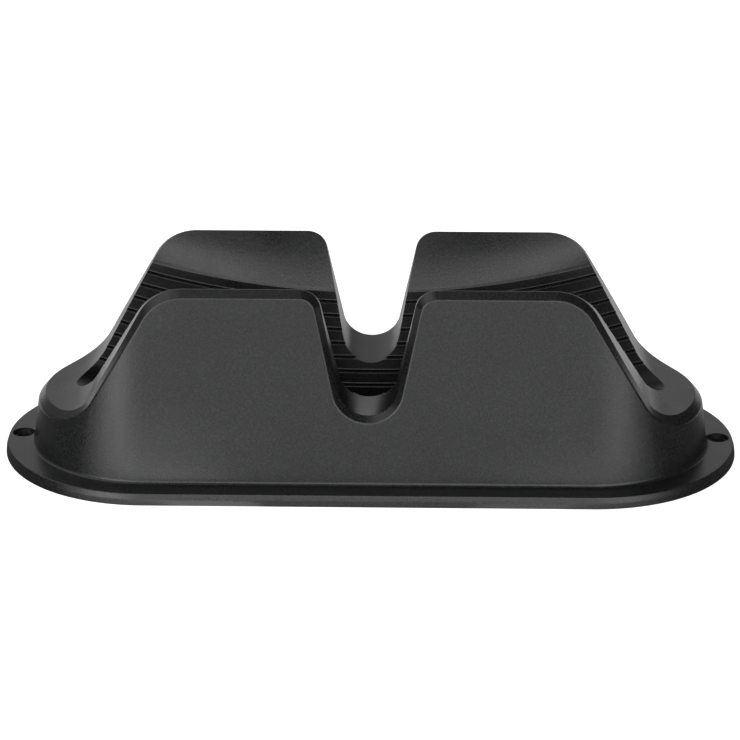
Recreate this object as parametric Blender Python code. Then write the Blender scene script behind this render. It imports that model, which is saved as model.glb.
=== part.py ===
"""Bike wheel chock: a moulded shell with a ribbed wheel channel, and its eight rubber pads.

Units are metres, +Z is up and +X runs along the wheel channel.
The origin is on the ground under the middle of the chock.
"""
import math

import bmesh
import bpy

MM = 0.001

# Overall sizes
LENGTH = 410 * MM
WIDTH = 168 * MM
HEIGHT = 111.3 * MM
PAD_STAND = 0.3 * MM

# Flange
FLANGE_TOP = 6.8 * MM
FLANGE_EDGE_INSET = 1.3 * MM
FLANGE_EDGE_ROUND = 0.4 * MM

# Skirt
SKIRT_INSET = 14.2 * MM
SKIRT_SLOPE = math.tan(math.radians(8.25))
SKIRT_COVE = 2.0 * MM
COVE_STEPS = 3
RIM_INSET = 5.2 * MM
NOTCH_RIM_INSET = 3.5 * MM
RIM_DROP = 3.0 * MM
END_PINCH = 1.7 * MM
END_RIM_DROP = 1.9 * MM
WALL = 3.0 * MM

# Side profile of the top: shoulders, ramps and end floors
RAMP_FOOT_EDGE = 46.6 * MM
SHOULDER_RADIUS = 27 * MM
RAMP_ANGLE = math.radians(60)
RAMP_FOOT_RADIUS = 28 * MM
END_FLOOR = 35.8 * MM

# Cross notch for a wide tyre
NOTCH_MOUTH = 54.4 * MM
NOTCH_SLOPE = math.tan(math.radians(11.7))
NOTCH_LIP_RADIUS = 11.5 * MM
NOTCH_FLOOR_RADIUS = 16.3 * MM
NOTCH_DIP = 6.0 * MM

# Long channel, turned about an axle so that its floor runs out at the end floors
SLOT_EDGE = 45.9 * MM
CHANNEL_FLOOR = 11.1 * MM
CHANNEL_GAUGE_DEPTH = 30.7 * MM
CHANNEL_GAUGE_WIDTH = 52 * MM
RIB_COUNT = 8
RIB_LOWEST_DEPTH = 10.4 * MM
RIB_MARGIN = 6.4 * MM
RIB_STEP = 1.2 * MM
RIB_FALL = 0.9 * MM
GROOVE_WIDTH = 1.3 * MM
GROOVE_DEPTH = 1.5 * MM
FLARE_DEPTH = 67.2 * MM
FLARE_SPREAD = 7.5 * MM
FLARE_LEAST = 4 * MM
RIDGE_LAND = 0.8 * MM
CHANNEL_STATIONS = 17

# Screw holes in the flange, one at each end
SCREW_EDGE = 9.4 * MM
SCREW_HOLE = 7.6 * MM
SCREW_SEAT = 12.6 * MM
SCREW_SEAT_DEPTH = 2 * MM

# Stiffening webs inside the shell
WEB = 2.2 * MM
WEB_PLACES = (44 * MM, 84 * MM, 124 * MM)
WEB_CLEAR = 5 * MM

# Rubber pads under the flange
PAD_WIDTH = 9 * MM
PAD_THICK = 2.4 * MM
PAD_GAP = 0.3 * MM
SIDE_PAD_LENGTH = 74 * MM
SIDE_PAD_CENTRE = 62 * MM
END_PAD_START = math.radians(18)
END_PAD_END = math.radians(66)

ARC_STEP = math.radians(7.5)
FAR = 400 * MM

# Sizes that follow from the ones above
FLANGE_RADIUS = WIDTH / 2
END_CENTRE = LENGTH / 2 - FLANGE_RADIUS
SKIRT_RADIUS = FLANGE_RADIUS - SKIRT_INSET
NOTCH_APEX = HEIGHT - NOTCH_MOUTH / 2 / NOTCH_SLOPE
NOTCH_FLOOR = NOTCH_APEX + NOTCH_FLOOR_RADIUS * (math.hypot(1, 1 / NOTCH_SLOPE) - 1)
SLOT_REACH = LENGTH / 2 - SLOT_EDGE
SLOT_RISE = END_FLOOR - CHANNEL_FLOOR
CHANNEL_RADIUS = (SLOT_REACH ** 2 + SLOT_RISE ** 2) / (2 * SLOT_RISE)
AXLE_HEIGHT = CHANNEL_FLOOR + CHANNEL_RADIUS
RIDGE_HALF = SKIRT_RADIUS - (HEIGHT - FLANGE_TOP) * SKIRT_SLOPE - RIM_INSET - RIDGE_LAND
CHANNEL_SPREAD = RIDGE_HALF - FLARE_SPREAD - CHANNEL_GAUGE_WIDTH / 2
CHANNEL_SLOPE = CHANNEL_SPREAD / (FLARE_DEPTH - CHANNEL_GAUGE_DEPTH)
RIB_PITCH = (FLARE_DEPTH - RIB_MARGIN - RIB_LOWEST_DEPTH) / (RIB_COUNT - 1)


def fillet_path(corners, radii, longest):
    """Round the inner corners of an XZ outline and split its long stretches."""
    path = [corners[0]]
    for before, corner, after, radius in zip(corners, corners[1:], corners[2:], radii):
        inward = math.atan2(before[1] - corner[1], before[0] - corner[0])
        outward = math.atan2(after[1] - corner[1], after[0] - corner[0])
        opening = (outward - inward + math.pi) % (2 * math.pi) - math.pi
        middle = inward + opening / 2
        reach = radius / math.sin(abs(opening) / 2)
        centre = (corner[0] + reach * math.cos(middle), corner[1] + reach * math.sin(middle))
        turn = math.copysign(math.pi - abs(opening), -opening)
        start = middle + math.pi - turn / 2
        count = max(2, math.ceil(abs(turn) / ARC_STEP))
        for step in range(count + 1):
            angle = start + turn * step / count
            path.append((centre[0] + radius * math.cos(angle), centre[1] + radius * math.sin(angle)))
    path.append(corners[-1])
    fine = [path[0]]
    for a, b in zip(path, path[1:]):
        pieces = max(1, math.ceil(math.dist(a, b) / longest))
        fine += [(a[0] + (b[0] - a[0]) * k / pieces, a[1] + (b[1] - a[1]) * k / pieces)
                 for k in range(1, pieces + 1)]
    return fine


def top_profile(inset):
    """Right half of the side profile, from the notch floor to where the end floor starts."""
    top = HEIGHT - inset
    floor = END_FLOOR - inset
    side = math.hypot(1, NOTCH_SLOPE) * inset
    ramp = inset / math.sin(RAMP_ANGLE)
    mouth = NOTCH_MOUTH / 2 + side - inset * NOTCH_SLOPE
    outer_shoulder = LENGTH / 2 - RAMP_FOOT_EDGE - (HEIGHT - END_FLOOR) / math.tan(RAMP_ANGLE)
    shoulder = outer_shoulder - ramp + inset / math.tan(RAMP_ANGLE)
    foot = shoulder + (top - floor) / math.tan(RAMP_ANGLE)
    apex = top - mouth / NOTCH_SLOPE
    foot_end = foot + (RAMP_FOOT_RADIUS + inset) * math.tan(RAMP_ANGLE / 2)
    corners = [(-mouth, top), (0, apex), (mouth, top), (shoulder, top), (foot, floor), (foot_end + 1e-6, floor)]
    radii = [NOTCH_FLOOR_RADIUS + inset, NOTCH_LIP_RADIUS - inset, SHOULDER_RADIUS - inset,
             RAMP_FOOT_RADIUS + inset]
    path = fillet_path(corners, radii, 14 * MM)
    half = [p for p in path if p[0] > 1e-5]
    bottom = apex + radii[0] / math.sin(math.atan(NOTCH_SLOPE)) - radii[0]
    return [(0.0, bottom)] + half


def skirt_radius(height, inset):
    """Radius of the skirt's rounded ends at a height, which is also its half width."""
    return SKIRT_RADIUS - inset - (height - FLANGE_TOP) * SKIRT_SLOPE


def notch_share(along, height, inset):
    """How deep in the notch a place on the ridge lies: 0 at its mouth and outside it, 1 on its floor."""
    if abs(along) > NOTCH_MOUTH / 2 + NOTCH_LIP_RADIUS:
        return 0.0
    return (HEIGHT - inset - height) / (HEIGHT - NOTCH_FLOOR)


def ridge_radius(along, height, inset):
    """Radius of the skirt's ends at the ridge, which is also the ridge's half width."""
    rim_inset = RIM_INSET + (NOTCH_RIM_INSET - RIM_INSET) * notch_share(along, height, inset)
    return skirt_radius(height, inset) - rim_inset


def end_turn(along, guide):
    """Angle around the rounded end of a place along a guide of its own radius."""
    if along <= END_CENTRE:
        return 0.0
    return math.asin(min(1.0, (along - END_CENTRE) / guide))


def on_stadium(along, radius, height, guide, pinch=0.0):
    """Front right point of a stadium outline, where along is measured on a guide of its own radius."""
    angle = end_turn(along, guide)
    if angle == 0.0:
        return (along, -radius, height)
    near = radius - pinch * math.sin(angle) ** 2
    return (END_CENTRE + near * math.sin(angle), -near * math.cos(angle), height)


def column_points(inset):
    """Columns of the right half: for each, its place along, its ridge, its rim and its guide radius."""
    profile = top_profile(inset)
    last_along, floor = profile[-1]
    guide = skirt_radius(floor, inset) - RIM_INSET
    start = math.asin((last_along - END_CENTRE) / guide)
    count = max(3, math.ceil((math.pi / 2 - start) / ARC_STEP))
    ends = [start + (math.pi / 2 - start) * k / count for k in range(1, count + 1)]
    profile += [(END_CENTRE + guide * math.sin(a), floor) for a in ends]
    columns = []
    for index, (along, height) in enumerate(profile):
        before = profile[max(0, index - 1)]
        after = profile[min(len(profile) - 1, index + 1)]
        if index == 0:
            before = (-after[0], after[1])
        span = math.dist(before, after)
        normal = ((after[1] - before[1]) / span, -(after[0] - before[0]) / span)
        radius = ridge_radius(along, height, inset)
        columns.append((along, height, normal, radius))
    return columns


def half_rings(inset, levels):
    """Front right stretch of every ring of the skirt: the plain levels, the rim and the ridge."""
    rings = [[] for _ in range(len(levels) + 2)]
    for along, height, normal, radius in column_points(inset):
        for ring, (level, level_radius, pinch) in zip(rings, levels):
            ring.append(on_stadium(along, level_radius, level, radius, pinch))
        drop = RIM_DROP + END_RIM_DROP * math.sin(end_turn(along, radius)) ** 2
        rim_height = height + normal[1] * drop
        rim_along = along + normal[0] * drop
        rim_radius = skirt_radius(rim_height, inset)
        rings[-2].append(on_stadium(rim_along, rim_radius, rim_height, radius, END_PINCH))
        rings[-1].append(on_stadium(along, radius, height, radius))
    return rings


def full_ring(bm, points):
    """Mirror a front right stretch into a closed ring of vertices, front left point first."""
    front = [(-x, y, z) for x, y, z in reversed(points[1:])] + points
    back = [(x, -y, z) for x, y, z in reversed(front[1:-1])]
    return [bm.verts.new(p) for p in front + back]


def bridge(bm, lower, upper):
    """Join two rings of the same count with a band of faces."""
    for i in range(len(lower)):
        j = (i + 1) % len(lower)
        bm.faces.new((lower[i], lower[j], upper[j], upper[i]))


def skirt_mesh(name, inset, levels):
    """Loft the skirt from its levels to the ridge, and close it with the ruled top."""
    bm = bmesh.new()
    halves = half_rings(inset, levels)
    rings = [full_ring(bm, half) for half in halves]
    for lower, upper in zip(rings, rings[1:]):
        bridge(bm, lower, upper)
    bm.faces.new(list(reversed(rings[0])))
    ridge = rings[-1]
    count = len(halves[-1])
    front = ridge[:2 * count - 1]
    back = [ridge[-i] for i in range(1, 2 * count - 2)]
    middle = []
    for vert in front[1:-1]:
        dip = NOTCH_DIP * notch_share(vert.co.x, vert.co.z, inset)
        middle.append(bm.verts.new((vert.co.x, 0, vert.co.z - dip)))
    for side in (front[1:-1], back):
        for i in range(len(middle) - 1):
            bm.faces.new((side[i], side[i + 1], middle[i + 1], middle[i]))
        for tip, near in ((front[0], 0), (front[-1], -1)):
            bm.faces.new((tip, side[near], middle[near]))
    return finish_mesh(bm, name)


def is_flat(face):
    """True where every corner of a face lies in its plane."""
    face.normal_update()
    start = face.verts[0].co
    return all(abs((vert.co - start).dot(face.normal)) < 1e-7 for vert in face.verts)


def finish_mesh(bm, name):
    """Turn a bmesh into a mesh whose faces are flat and point outwards."""
    bmesh.ops.remove_doubles(bm, verts=bm.verts, dist=1e-6)
    bmesh.ops.triangulate(bm, faces=[face for face in bm.faces if not is_flat(face)])
    bmesh.ops.recalc_face_normals(bm, faces=bm.faces)
    mesh = bpy.data.meshes.new(name)
    bm.to_mesh(mesh)
    bm.free()
    return mesh


def loft(name, rings):
    """Join rings of points in order and cap the two ends."""
    bm = bmesh.new()
    loops = [[bm.verts.new(p) for p in ring] for ring in rings]
    for lower, upper in zip(loops, loops[1:]):
        bridge(bm, lower, upper)
    bm.faces.new(loops[0])
    bm.faces.new(loops[-1])
    return finish_mesh(bm, name)


def channel_half_width(radius):
    """Half width of the channel's straight wall at a distance from the axle."""
    gauge = CHANNEL_RADIUS - CHANNEL_GAUGE_DEPTH
    return CHANNEL_GAUGE_WIDTH / 2 - CHANNEL_SLOPE * (radius - gauge)


def channel_profile(ribbed):
    """Radius and half width of one side of the channel, from its floor up to the flare."""
    lowest = CHANNEL_RADIUS - RIB_LOWEST_DEPTH
    edge = channel_half_width(lowest) - RIB_STEP
    rise = RIB_LOWEST_DEPTH - RIB_FALL
    floor = (edge ** 2 + rise ** 2) / (2 * rise)
    turn = math.asin(edge / floor)
    points = []
    for step in range(6):
        angle = turn * step / 6
        points.append((CHANNEL_RADIUS - floor * (1 - math.cos(angle)), floor * math.sin(angle)))
    if ribbed:
        for rib in range(RIB_COUNT):
            radius = lowest - rib * RIB_PITCH
            width = channel_half_width(radius)
            mouth = GROOVE_WIDTH / 2
            points += [(radius + RIB_FALL, width - RIB_STEP),
                       (radius + RIB_FALL * 0.3, width - mouth),
                       (radius + GROOVE_DEPTH, width),
                       (radius - RIB_FALL * 0.3, width + mouth),
                       (radius - RIB_FALL, width + RIB_STEP)]
    else:
        points.append((lowest, channel_half_width(lowest)))
    flare = CHANNEL_RADIUS - FLARE_DEPTH
    points.append((flare, channel_half_width(flare)))
    return points


def channel_mesh(name, skin, ribbed):
    """Loft the wheel channel about the axle, with the flare that opens to the ridges."""
    profile = channel_profile(ribbed)
    drop = AXLE_HEIGHT - END_FLOOR
    sweep = math.acos(drop / (CHANNEL_RADIUS + skin)) + math.radians(1.5)
    flare_half = profile[-1][1]
    flare_radius = profile[-1][0]
    rings = []
    for station in range(CHANNEL_STATIONS):
        angle = -sweep + 2 * sweep * station / (CHANNEL_STATIONS - 1)
        ridge_radius = min((AXLE_HEIGHT - HEIGHT) / math.cos(angle), flare_radius - FLARE_LEAST)
        spread = (RIDGE_HALF - flare_half) / (flare_radius - ridge_radius)
        beyond = 30 * MM
        section = [(r + skin, w) if w < 1e-9 else (r + skin * 0.35, w + skin) for r, w in profile]
        section.append((ridge_radius - beyond, RIDGE_HALF + spread * beyond + skin))
        side = [(r * math.sin(angle), w, AXLE_HEIGHT - r * math.cos(angle)) for r, w in section]
        other = [(x, -y, z) for x, y, z in reversed(side[1:])]
        rings.append(side + other)
    return loft(name, rings)


def box_mesh(name, low, high):
    """Box between two corners."""
    bm = bmesh.new()
    bmesh.ops.create_cube(bm, size=1)
    for vert in bm.verts:
        vert.co = [low[i] + (vert.co[i] + 0.5) * (high[i] - low[i]) for i in range(3)]
    return finish_mesh(bm, name)


def cylinder_mesh(name, radius, low, high, x):
    """Upright cylinder at a place on the centre line."""
    bm = bmesh.new()
    bmesh.ops.create_cone(bm, cap_ends=True, segments=28, radius1=radius, radius2=radius, depth=high - low)
    bmesh.ops.translate(bm, verts=bm.verts, vec=(x, 0, (low + high) / 2))
    return finish_mesh(bm, name)


def pad_outline(path, width):
    """Outline of a strip with round ends along a path, given as points with their normals."""
    half = width / 2
    outer = [(x + nx * half, y + ny * half) for x, y, nx, ny in path]
    inner = [(x - nx * half, y - ny * half) for x, y, nx, ny in path]
    cap_end = round_cap(path[-1], half, 1)
    cap_start = round_cap(path[0], half, -1)
    return outer + cap_end + list(reversed(inner)) + cap_start


def round_cap(place, half, way):
    """Inner points of the half circle that ends a strip, going from one edge to the other."""
    x, y, nx, ny = place
    start = math.atan2(ny, nx) if way > 0 else math.atan2(-ny, -nx)
    return [(x + half * math.cos(start + math.pi * k / 6), y + half * math.sin(start + math.pi * k / 6))
            for k in range(1, 6)]


def pad_mesh(name, path, width, low, high):
    """Flat pad, or the pocket that it sits in, along a path."""
    outline = pad_outline(path, width)
    return loft(name, [[(x, y, z) for x, y in outline] for z in (low, high)])


def pad_paths():
    """Middle line of each pad: straight strips on the long sides, curved ones at the ends."""
    middle = (FLANGE_RADIUS + SKIRT_RADIUS - WALL) / 2
    paths = {}
    for side, y_sign in (("front", -1), ("back", 1)):
        for end, x_sign in (("left", -1), ("right", 1)):
            turn = -x_sign * y_sign
            reach = (SIDE_PAD_LENGTH - PAD_WIDTH) / 2
            strip = [(x_sign * (SIDE_PAD_CENTRE + k * reach), y_sign * middle, 0, y_sign) for k in (-1, 1)]
            angles = [END_PAD_START + (END_PAD_END - END_PAD_START) * k / 6 for k in range(7)]
            arc = [(x_sign * (END_CENTRE + middle * math.sin(a)), y_sign * middle * math.cos(a),
                    x_sign * math.sin(a), y_sign * math.cos(a)) for a in angles]
            paths[f"side_pad_{side}_{end}"] = strip if turn > 0 else strip[::-1]
            paths[f"end_pad_{side}_{end}"] = arc if turn > 0 else arc[::-1]
    return paths


def material(name, color, roughness):
    """Principled material of one finish."""
    made = bpy.data.materials.new(name)
    made.use_nodes = True
    shader = made.node_tree.nodes["Principled BSDF"]
    shader.inputs["Base Color"].default_value = (*color, 1)
    shader.inputs["Roughness"].default_value = roughness
    shader.inputs["Metallic"].default_value = 0
    return made


def add_object(name, mesh, collection, finish=None):
    """Link a mesh to a collection as a named object; one without a finish is a cutter."""
    made = bpy.data.objects.new(name, mesh)
    collection.objects.link(made)
    if finish is None:
        made.hide_render = True
        made.display_type = "WIRE"
    else:
        mesh.materials.append(finish)
    return made


def cut(target, cutter):
    """Take a cutter's shape out of a target."""
    step = target.modifiers.new(cutter.name, "BOOLEAN")
    step.operation = "DIFFERENCE"
    step.solver = "EXACT"
    step.object = cutter


def shell_levels():
    """Height, radius and end pinch of the flange and the foot of the skirt, from the ground up."""
    levels = [(PAD_STAND, FLANGE_RADIUS - FLANGE_EDGE_ROUND, 0.0),
              (PAD_STAND + FLANGE_EDGE_ROUND, FLANGE_RADIUS, 0.0),
              (FLANGE_TOP, FLANGE_RADIUS - FLANGE_EDGE_INSET, 0.0)]
    for step in range(COVE_STEPS + 1):
        turn = math.pi / 2 * step / COVE_STEPS
        height = FLANGE_TOP + SKIRT_COVE * (1 - math.cos(turn))
        levels.append((height, skirt_radius(height, 0) + SKIRT_COVE * (1 - math.sin(turn)), END_PINCH))
    return levels


def build_cavity(cutters):
    """Open space inside the shell: the skirt shrunk by the wall, less the channel's own skin and webs."""
    base = PAD_STAND - 10 * MM
    levels = [(base, skirt_radius(base, WALL), END_PINCH)]
    cavity = add_object("cavity", skirt_mesh("cavity", WALL, levels), cutters)
    cut(cavity, add_object("channel_skin", channel_mesh("channel_skin", WALL, False), cutters))
    for place in WEB_PLACES:
        for sign in (-1, 1):
            low = (sign * place - WEB / 2, -FAR, PAD_STAND + WEB_CLEAR)
            high = (sign * place + WEB / 2, FAR, FAR)
            name = f"web_{'left' if sign < 0 else 'right'}_{round(place / MM)}"
            cut(cavity, add_object(name, box_mesh(name, low, high), cutters))
    return cavity


def build_shell(parts, cutters):
    """Moulded shell with its channel, notch, hollow underside, screw holes and pad pockets."""
    finish = material("black_plastic", (0.035, 0.036, 0.038), 0.5)
    shell = add_object("chock_shell", skirt_mesh("chock_shell", 0, shell_levels()), parts, finish)
    cut(shell, add_object("channel", channel_mesh("channel", 0, True), cutters))
    cut(shell, build_cavity(cutters))
    screw_x = LENGTH / 2 - SCREW_EDGE
    for name, sign in (("left", -1), ("right", 1)):
        hole = cylinder_mesh(f"screw_hole_{name}", SCREW_HOLE / 2, -FAR, FAR, sign * screw_x)
        seat_low = FLANGE_TOP - SCREW_SEAT_DEPTH
        seat = cylinder_mesh(f"screw_seat_{name}", SCREW_SEAT / 2, seat_low, FAR, sign * screw_x)
        cut(shell, add_object(f"screw_hole_{name}", hole, cutters))
        cut(shell, add_object(f"screw_seat_{name}", seat, cutters))
    return shell


def build_pads(shell, parts, cutters):
    """Rubber pads, each with its pocket cut in the underside of the flange."""
    finish = material("pad_rubber", (0.02, 0.02, 0.02), 0.85)
    for name, path in pad_paths().items():
        pocket = pad_mesh(f"pocket_{name}", path, PAD_WIDTH + 2 * PAD_GAP, -10 * MM, PAD_THICK + PAD_GAP)
        cut(shell, add_object(f"pocket_{name}", pocket, cutters))
        add_object(name, pad_mesh(name, path, PAD_WIDTH, 0, PAD_THICK), parts, finish)


def main():
    """Clear the scene and build the chock."""
    for old in list(bpy.data.objects):
        bpy.data.objects.remove(old)
    parts = bpy.data.collections.new("bike_wheel_chock")
    cutters = bpy.data.collections.new("cutters")
    for collection in (parts, cutters):
        bpy.context.scene.collection.children.link(collection)
    shell = build_shell(parts, cutters)
    build_pads(shell, parts, cutters)


main()
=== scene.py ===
"""Looks of the bike wheel chock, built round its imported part.

Units are metres, +Z is up, +X runs along the wheel channel and the camera stands on the -Y side.
"""

import logging
import math
from collections.abc import Callable
from dataclasses import dataclass, field
from enum import Enum

import bmesh
import bpy
from mathutils import Matrix, Vector

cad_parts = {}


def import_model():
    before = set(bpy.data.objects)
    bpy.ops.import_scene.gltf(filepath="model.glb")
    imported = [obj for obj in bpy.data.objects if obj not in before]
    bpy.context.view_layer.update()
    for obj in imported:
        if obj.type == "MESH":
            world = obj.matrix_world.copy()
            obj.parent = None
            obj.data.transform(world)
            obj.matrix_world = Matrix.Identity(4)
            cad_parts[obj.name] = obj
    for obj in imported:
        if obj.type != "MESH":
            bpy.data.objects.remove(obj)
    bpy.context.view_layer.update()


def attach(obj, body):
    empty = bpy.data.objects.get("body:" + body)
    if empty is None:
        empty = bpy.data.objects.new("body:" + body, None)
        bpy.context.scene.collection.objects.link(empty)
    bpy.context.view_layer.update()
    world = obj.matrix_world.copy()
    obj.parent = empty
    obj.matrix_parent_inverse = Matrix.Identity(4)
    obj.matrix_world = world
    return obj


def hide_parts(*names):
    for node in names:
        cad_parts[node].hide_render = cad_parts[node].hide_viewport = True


MM = 0.001
FAR = 400 * MM
MERGE = 1e-6
TINY = 1e-7
IMAGE_SIZE = 740
NODE_SPACING = 190
LOG = logging.getLogger("bike_wheel_chock")


class Side(Enum):
    """Long side of the chock, by the sign of its Y."""

    FRONT = -1
    BACK = 1


class End(Enum):
    """Rounded end of the chock, by the sign of its X."""

    LEFT = -1
    RIGHT = 1


class Plane(Enum):
    """Plane that a path is drawn in, by the axis that its arcs turn about."""

    SIDE = (0, 1, 0)
    SECTION = (1, 0, 0)
    GROUND = (0, 0, 1)


class Pen:
    """Draws a path: straight by extruding its last point, round by spinning it."""

    def __init__(self, start: Vector, plane: Plane) -> None:
        """Put the pen down.

        Args:
            start: First point of the path.
            plane: Plane that the path stays in.
        """
        self.bm = bmesh.new()
        self.first = self.bm.verts.new(start)
        self.tip = self.first
        self.axis = Vector(plane.value)

    def line(self, target: Vector) -> None:
        """Draw straight to a point.

        Args:
            target: Where the line ends.
        """
        made = bmesh.ops.extrude_vert_indiv(self.bm, verts=[self.tip])["verts"][0]
        made.co = target
        self.tip = made

    def arc(self, centre: Vector, angle: float, step: float) -> None:
        """Draw round a centre.

        Args:
            centre: Middle of the arc.
            angle: Turn about the plane's axis, by the right-hand rule.
            step: Largest turn between two points.
        """
        steps = max(2, math.ceil(abs(angle) / step))
        made = bmesh.ops.spin(self.bm, geom=[self.tip], cent=centre, axis=self.axis, angle=angle,
                              steps=steps, use_merge=False, use_duplicate=False)["geom_last"]
        self.tip = next(item for item in made if isinstance(item, bmesh.types.BMVert))

    def corner(self, place: Vector, onward: Vector, radius: float, step: float) -> None:
        """Draw to a corner and round it.

        Args:
            place: The sharp corner.
            onward: Where the path goes after the corner.
            radius: Radius that rounds it.
            step: Largest turn between two points.
        """
        heading = (place - self.tip.co).normalized()
        leaving = (onward - place).normalized()
        turn = math.atan2(self.axis.dot(heading.cross(leaving)), heading.dot(leaving))
        start = place - heading * radius * math.tan(abs(turn) / 2)
        inward = self.axis.cross(heading) * math.copysign(radius, turn)
        self.line(start)
        self.arc(start + inward, turn, step)

    def points(self, longest: float) -> list[Vector]:
        """Lift the pen.

        Args:
            longest: Longest stretch between two points.

        Returns:
            The path's points in order.
        """
        start = self.first.co.copy()
        for edge in list(self.bm.edges):
            cuts = math.ceil(edge.calc_length() / longest) - 1
            if cuts > 0:
                bmesh.ops.bisect_edges(self.bm, edges=[edge], cuts=cuts)
        ends = [vert for vert in self.bm.verts if len(vert.link_edges) == 1]
        here = min(ends, key=lambda vert: (vert.co - start).length)
        found = [start]
        before = None
        while True:
            onward = [e.other_vert(here) for e in here.link_edges if e.other_vert(here) is not before]
            if not onward:
                break
            before, here = here, onward[0]
            found.append(here.co.copy())
        self.bm.free()
        return found


def finished_mesh(bm: bmesh.types.BMesh, name: str) -> bpy.types.Mesh:
    """Close a bmesh into a mesh whose faces point outwards.

    Args:
        bm: The shape, which is freed.
        name: Name of the mesh.

    Returns:
        The mesh.
    """
    bmesh.ops.remove_doubles(bm, verts=bm.verts, dist=MERGE)
    bmesh.ops.recalc_face_normals(bm, faces=bm.faces)
    if bm.calc_volume(signed=True) < 0:
        bmesh.ops.reverse_faces(bm, faces=bm.faces)
    mesh = bpy.data.meshes.new(name)
    bm.to_mesh(mesh)
    bm.free()
    return mesh


def add_object(mesh: bpy.types.Mesh) -> bpy.types.Object:
    """Link a mesh to the scene as an object of its own name.

    Args:
        mesh: Mesh with its place in its vertices.

    Returns:
        The object, at the origin.
    """
    made = bpy.data.objects.new(mesh.name, mesh)
    bpy.context.scene.collection.objects.link(made)
    return made


def carve(target: bpy.types.Object, cutters: list[bpy.types.Object]) -> None:
    """Take cutters out of an object for good, and remove them.

    Args:
        target: Object that keeps what is left.
        cutters: Closed shapes to take out, in order.
    """
    for cutter in cutters:
        step = target.modifiers.new(cutter.name, "BOOLEAN")
        step.operation = "DIFFERENCE"
        step.solver = "EXACT"
        step.object = cutter
    graph = bpy.context.evaluated_depsgraph_get()
    carved = bpy.data.meshes.new_from_object(target.evaluated_get(graph))
    target.modifiers.clear()
    old = target.data
    target.data = carved
    bpy.data.meshes.remove(old)
    carved.name = target.name
    for cutter in cutters:
        mesh = cutter.data
        bpy.data.objects.remove(cutter)
        bpy.data.meshes.remove(mesh)


def box_object(name: str, low: Vector, high: Vector) -> bpy.types.Object:
    """Add a box between two corners.

    Args:
        name: Name of the box.
        low: Lowest corner.
        high: Highest corner.

    Returns:
        The box as an object.
    """
    bm = bmesh.new()
    size = Matrix.Diagonal((*(high - low), 1))
    bmesh.ops.create_cube(bm, size=1, matrix=Matrix.Translation((low + high) / 2) @ size)
    return add_object(finished_mesh(bm, name))


def cylinder_object(name: str, radius: float, foot: Vector, height: float) -> bpy.types.Object:
    """Add an upright cylinder.

    Args:
        name: Name of the cylinder.
        radius: Its radius.
        foot: Middle of its lower end.
        height: Its height.

    Returns:
        The cylinder as an object.
    """
    bm = bmesh.new()
    middle = Matrix.Translation(foot + Vector((0, 0, height / 2)))
    bmesh.ops.create_cone(bm, cap_ends=True, segments=64, radius1=radius, radius2=radius, depth=height,
                          matrix=middle)
    return add_object(finished_mesh(bm, name))


@dataclass(frozen=True)
class Column:
    """Upright line of the skirt: its place along the ridge, and how the ridge runs there."""

    along: float
    height: float
    inward: Vector
    guide: float
    turn: float


@dataclass
class SideProfile:
    """Outline of the top seen from the side: notch, lips, shoulders, ramps and end floors."""

    reach: float = 205 * MM
    height: float = 111.3 * MM
    end_floor: float = 35.8 * MM
    foot_edge: float = 46.6 * MM
    ramp_angle: float = math.radians(60)
    shoulder_radius: float = 27 * MM
    foot_radius: float = 28 * MM
    notch_mouth: float = 54.4 * MM
    notch_lean: float = math.radians(11.7)
    notch_lip: float = 11.5 * MM
    notch_floor: float = 16.3 * MM
    notch_dip: float = 6.0 * MM

    def path(self, inset: float, step: float, longest: float) -> list[Vector]:
        """Draw the right half, from the middle of the notch to the end of the ramp's foot.

        Args:
            inset: How far the outline lies inside the surface.
            step: Largest turn between two points.
            longest: Longest stretch between two points.

        Returns:
            Points of the outline in the XZ plane.
        """
        slope = math.tan(self.notch_lean)
        top = self.height - inset
        floor = self.end_floor - inset
        mouth = self.notch_mouth / 2 + math.hypot(1, slope) * inset - inset * slope
        shoulder = self.reach - self.foot_edge - (self.height - self.end_floor) / math.tan(self.ramp_angle)
        shoulder += inset / math.tan(self.ramp_angle) - inset / math.sin(self.ramp_angle)
        foot = shoulder + (top - floor) / math.tan(self.ramp_angle)
        foot_end = foot + (self.foot_radius + inset) * math.tan(self.ramp_angle / 2)
        radius = self.notch_floor + inset
        centre = top - mouth / slope + radius / math.sin(self.notch_lean)
        pen = Pen(Vector((0, 0, centre - radius)), Plane.SIDE)
        pen.arc(Vector((0, 0, centre)), self.notch_lean - math.pi / 2, step)
        pen.corner(Vector((mouth, 0, top)), Vector((shoulder, 0, top)), self.notch_lip - inset, step)
        pen.corner(Vector((shoulder, 0, top)), Vector((foot, 0, floor)), self.shoulder_radius - inset, step)
        pen.corner(Vector((foot, 0, floor)), Vector((foot_end + 1, 0, floor)), self.foot_radius + inset, step)
        return pen.points(longest)

    def notch_share(self, along: float, height: float) -> float:
        """How deep in the notch a place on the ridge lies: 0 at its mouth and outside it, 1 on its floor.

        Args:
            along: Place along the chock.
            height: Height of the ridge there.

        Returns:
            The share.
        """
        if abs(along) > self.notch_mouth / 2 + self.notch_lip:
            return 0.0
        depth = self.notch_mouth / 2 / math.tan(self.notch_lean)
        depth -= self.notch_floor * (1 / math.sin(self.notch_lean) - 1)
        return (self.height - height) / depth

    def dip(self, along: float, height: float) -> float:
        """How much lower than the ridge the middle of the chock lies, from the place along and its height."""
        return self.notch_dip * self.notch_share(along, height)


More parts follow.
